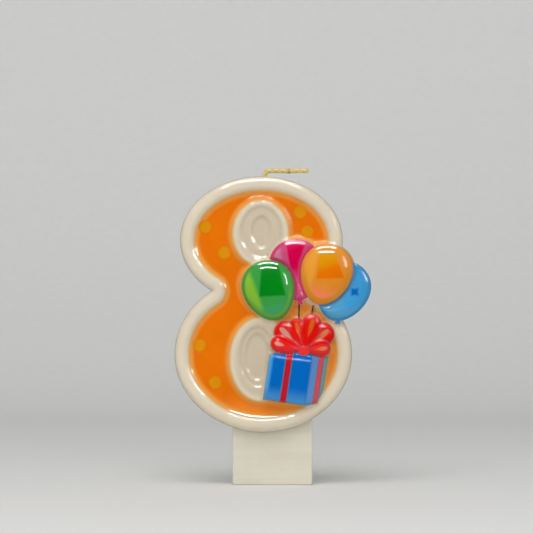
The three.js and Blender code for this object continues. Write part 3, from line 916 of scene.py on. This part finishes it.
def wick_rows():
    """A round section of 0.64 mm carried along the cord, swollen by two crossing sets of strands.

    The cord rises, turns through a quarter circle of 1.2 mm and lies level, with a slight wave."""
    rise = np.column_stack([np.full(30, -2.1), np.linspace(79.5, 84.09, 30)])
    turn = np.linspace(np.pi, np.pi / 2, 22)[1:]
    bend = np.column_stack([-0.9 + 1.2 * np.cos(turn), 84.09 + 1.2 * np.sin(turn)])
    level = np.linspace(-0.9, 9.8, 90)[1:]
    lie = np.column_stack([level, 85.29 + 0.06 * np.sin((level + 0.9) * 0.9) * eased(level, 0, 3)])
    path = np.concatenate([rise, bend, lie])
    run = np.concatenate([[0], np.cumsum(np.hypot(*np.diff(path, axis=0).T))])
    ahead = np.gradient(path, axis=0)
    ahead /= np.hypot(*ahead.T)[:, None]
    phi = 2 * np.pi * np.arange(32) / 32
    strands = np.maximum(np.cos(3 * phi + run[:, None] * 3.4), np.cos(3 * phi - run[:, None] * 3.4))
    end = np.sqrt(np.clip(1 - np.clip(1 - (run[-1] - run) / 0.35, 0, 1) ** 2, 0.12, 1))
    knob = 1 + 0.12 * np.exp(-(((path[:, 0] - 4.4) / 0.8) ** 2))
    radius = (0.62 + 0.02 * strands) * (end * knob)[:, None]
    x = path[:, :1] - ahead[:, 1:] * radius * np.cos(phi)
    z = path[:, 1:] + ahead[:, :1] * radius * np.cos(phi)
    y = PIVOT[1] + radius * np.sin(phi)
    return np.stack([x, y, z], -1), path, np.broadcast_to(run[:, None], x.shape), strands


def cotton_colours(tree):
    """Straw yellow, with painted light and shade on the braid, paler on the crowns of the strands and darker
    between them, and one brown spot.
    """
    split = node(tree, "ShaderNodeSeparateXYZ", {0: mark(tree, "place", "Vector")})
    # Painted light and shade of the braid: pale on the strands' crowns, darker in the grooves.
    crown = between(tree, split.outputs[1], 0.3, 0.95)
    braid_light_and_shade = blended(tree, crown, paint(202, 182, 114), paint(224, 206, 144))
    return blended(tree, between(tree, split.outputs[2], 0.2, 0.9), braid_light_and_shade, paint(168, 122, 62))


wick_wax = wax("wick_cotton", cotton_colours, gloss=0.4, coat=0.15, swell=0.2, depth=0.0004)
rings, path, run, strands = wick_rows()
# A brown mark across the cord near x = 4.5 mm, strongest at its middle.
brown_mark = np.exp(-(((rings[..., 0] - 4.5) / 0.5) ** 2)) * 0.7
spots = np.stack([run, strands, brown_mark], -1).reshape(-1, 3)
wick = skin(
    "wick_cord",
    rings,
    (path[0, 0], PIVOT[1], path[0, 1]),
    (path[-1, 0], PIVOT[1], path[-1, 1]),
    wick_wax,
    ["wick_core", "wick_tip"],
    {"place": np.concatenate([spots, spots[[0, -1]]])},
)
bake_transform(wick)

# ---------------------------------------------------------------- studio
# A pale seamless sheet under and behind the candle, two long strip lamps overhead, one tall strip
# at the right, and a broad soft light from the front.


def sweep_sheet():
    """A sheet level from the front to 0.35 m behind the candle, then up a quarter circle and a wall."""
    t = np.linspace(0, np.pi / 2, 24)
    y = np.concatenate([np.linspace(-1.6, 0.3, 12), 0.35 + 0.3 * np.sin(t), [0.65, 0.65]])
    z = np.concatenate([np.zeros(12), 0.3 * (1 - np.cos(t)), [0.9, 1.8]])
    x = np.linspace(-1.8, 1.8, 9)
    grid = np.stack(np.broadcast_arrays(x[:, None], y, z), -1)
    at = np.arange(grid[..., 0].size).reshape(grid.shape[:2])
    quads = np.stack([at[:-1, :-1], at[1:, :-1], at[1:, 1:], at[:-1, 1:]], -1).reshape(-1, 4)
    mesh = bpy.data.meshes.new("sweep_sheet")
    mesh.from_pydata(grid.reshape(-1, 3).tolist(), [], quads.tolist())
    mesh.shade_smooth()
    return mesh


paper = bpy.data.materials.new("sheet_paper")
paper.use_nodes = True
sheet_shader = paper.node_tree.nodes["Principled BSDF"]
fibre = node(paper.node_tree, "ShaderNodeTexNoise", {"Scale": 300.0, "Detail": 3.0,
    "Vector": node(paper.node_tree, "ShaderNodeTexCoord").outputs["Object"]})
tone = blended(paper.node_tree, fibre.outputs["Fac"], paint(226, 226, 224), paint(232, 232, 230))
paper.node_tree.links.new(tone, sheet_shader.inputs["Base Color"])
sheet_shader.inputs["Roughness"].default_value = 0.8
sheet = bpy.data.objects.new("sweep_sheet", sweep_sheet())
sheet.data.materials.append(paper)
bpy.context.scene.collection.objects.link(sheet)
sheet.visible_glossy = False


def lamp(name, place, aim, size, power, strip=True):
    """A rectangular lamp at a place, turned towards an aim. A strip lamp only draws the long highlights
    in the gloss; a soft one only lights the wax."""
    light = bpy.data.lights.new(name, "AREA")
    light.shape = "RECTANGLE"
    light.size, light.size_y = size
    light.energy = power
    made = bpy.data.objects.new(name, light)
    made.location = place
    away = Vector(place) - Vector(aim)
    made.rotation_mode = "QUATERNION"
    made.rotation_quaternion = away.to_track_quat("Z", "Y")
    made.visible_glossy = strip
    made.visible_diffuse = not strip
    bpy.context.scene.collection.objects.link(made)


HEART = (0, 0, 0.05)
lamp("strip_high", (0.0, -0.1, 0.62), HEART, (0.5, 0.036), 4.6)
lamp("strip_low", (0.0, -0.36, 0.52), HEART, (0.42, 0.03), 3.0)
lamp("strip_right", (0.5, -0.35, 0.32), HEART, (0.024, 0.3), 1.3)
lamp("soft_high", (-0.12, -0.6, 0.8), HEART, (0.7, 0.7), 5.2, strip=False)
lamp("soft_front", (0.1, -1.2, 0.2), HEART, (0.8, 0.8), 5.2, strip=False)

world = bpy.data.worlds.new("studio")
world.use_nodes = True
world.node_tree.nodes["Background"].inputs["Color"].default_value = (1, 1, 1, 1)
world.node_tree.nodes["Background"].inputs["Strength"].default_value = 0.35
world.cycles_visibility.glossy = False
bpy.context.scene.world = world
bpy.context.scene.view_settings.view_transform = "Standard"

# The camera looks level and square at the face from 0.8 m, with a long lens.
view = bpy.data.cameras.new("front_camera")
view.lens = 200
view.sensor_width = 36
camera = bpy.data.objects.new("front_camera", view)
camera.location = (-0.00162, -0.0065 - 200 / 36 * 0.1439, 0.0593)
camera.rotation_euler = (np.pi / 2, 0, 0)
bpy.context.scene.collection.objects.link(camera)
bpy.context.scene.camera = camera
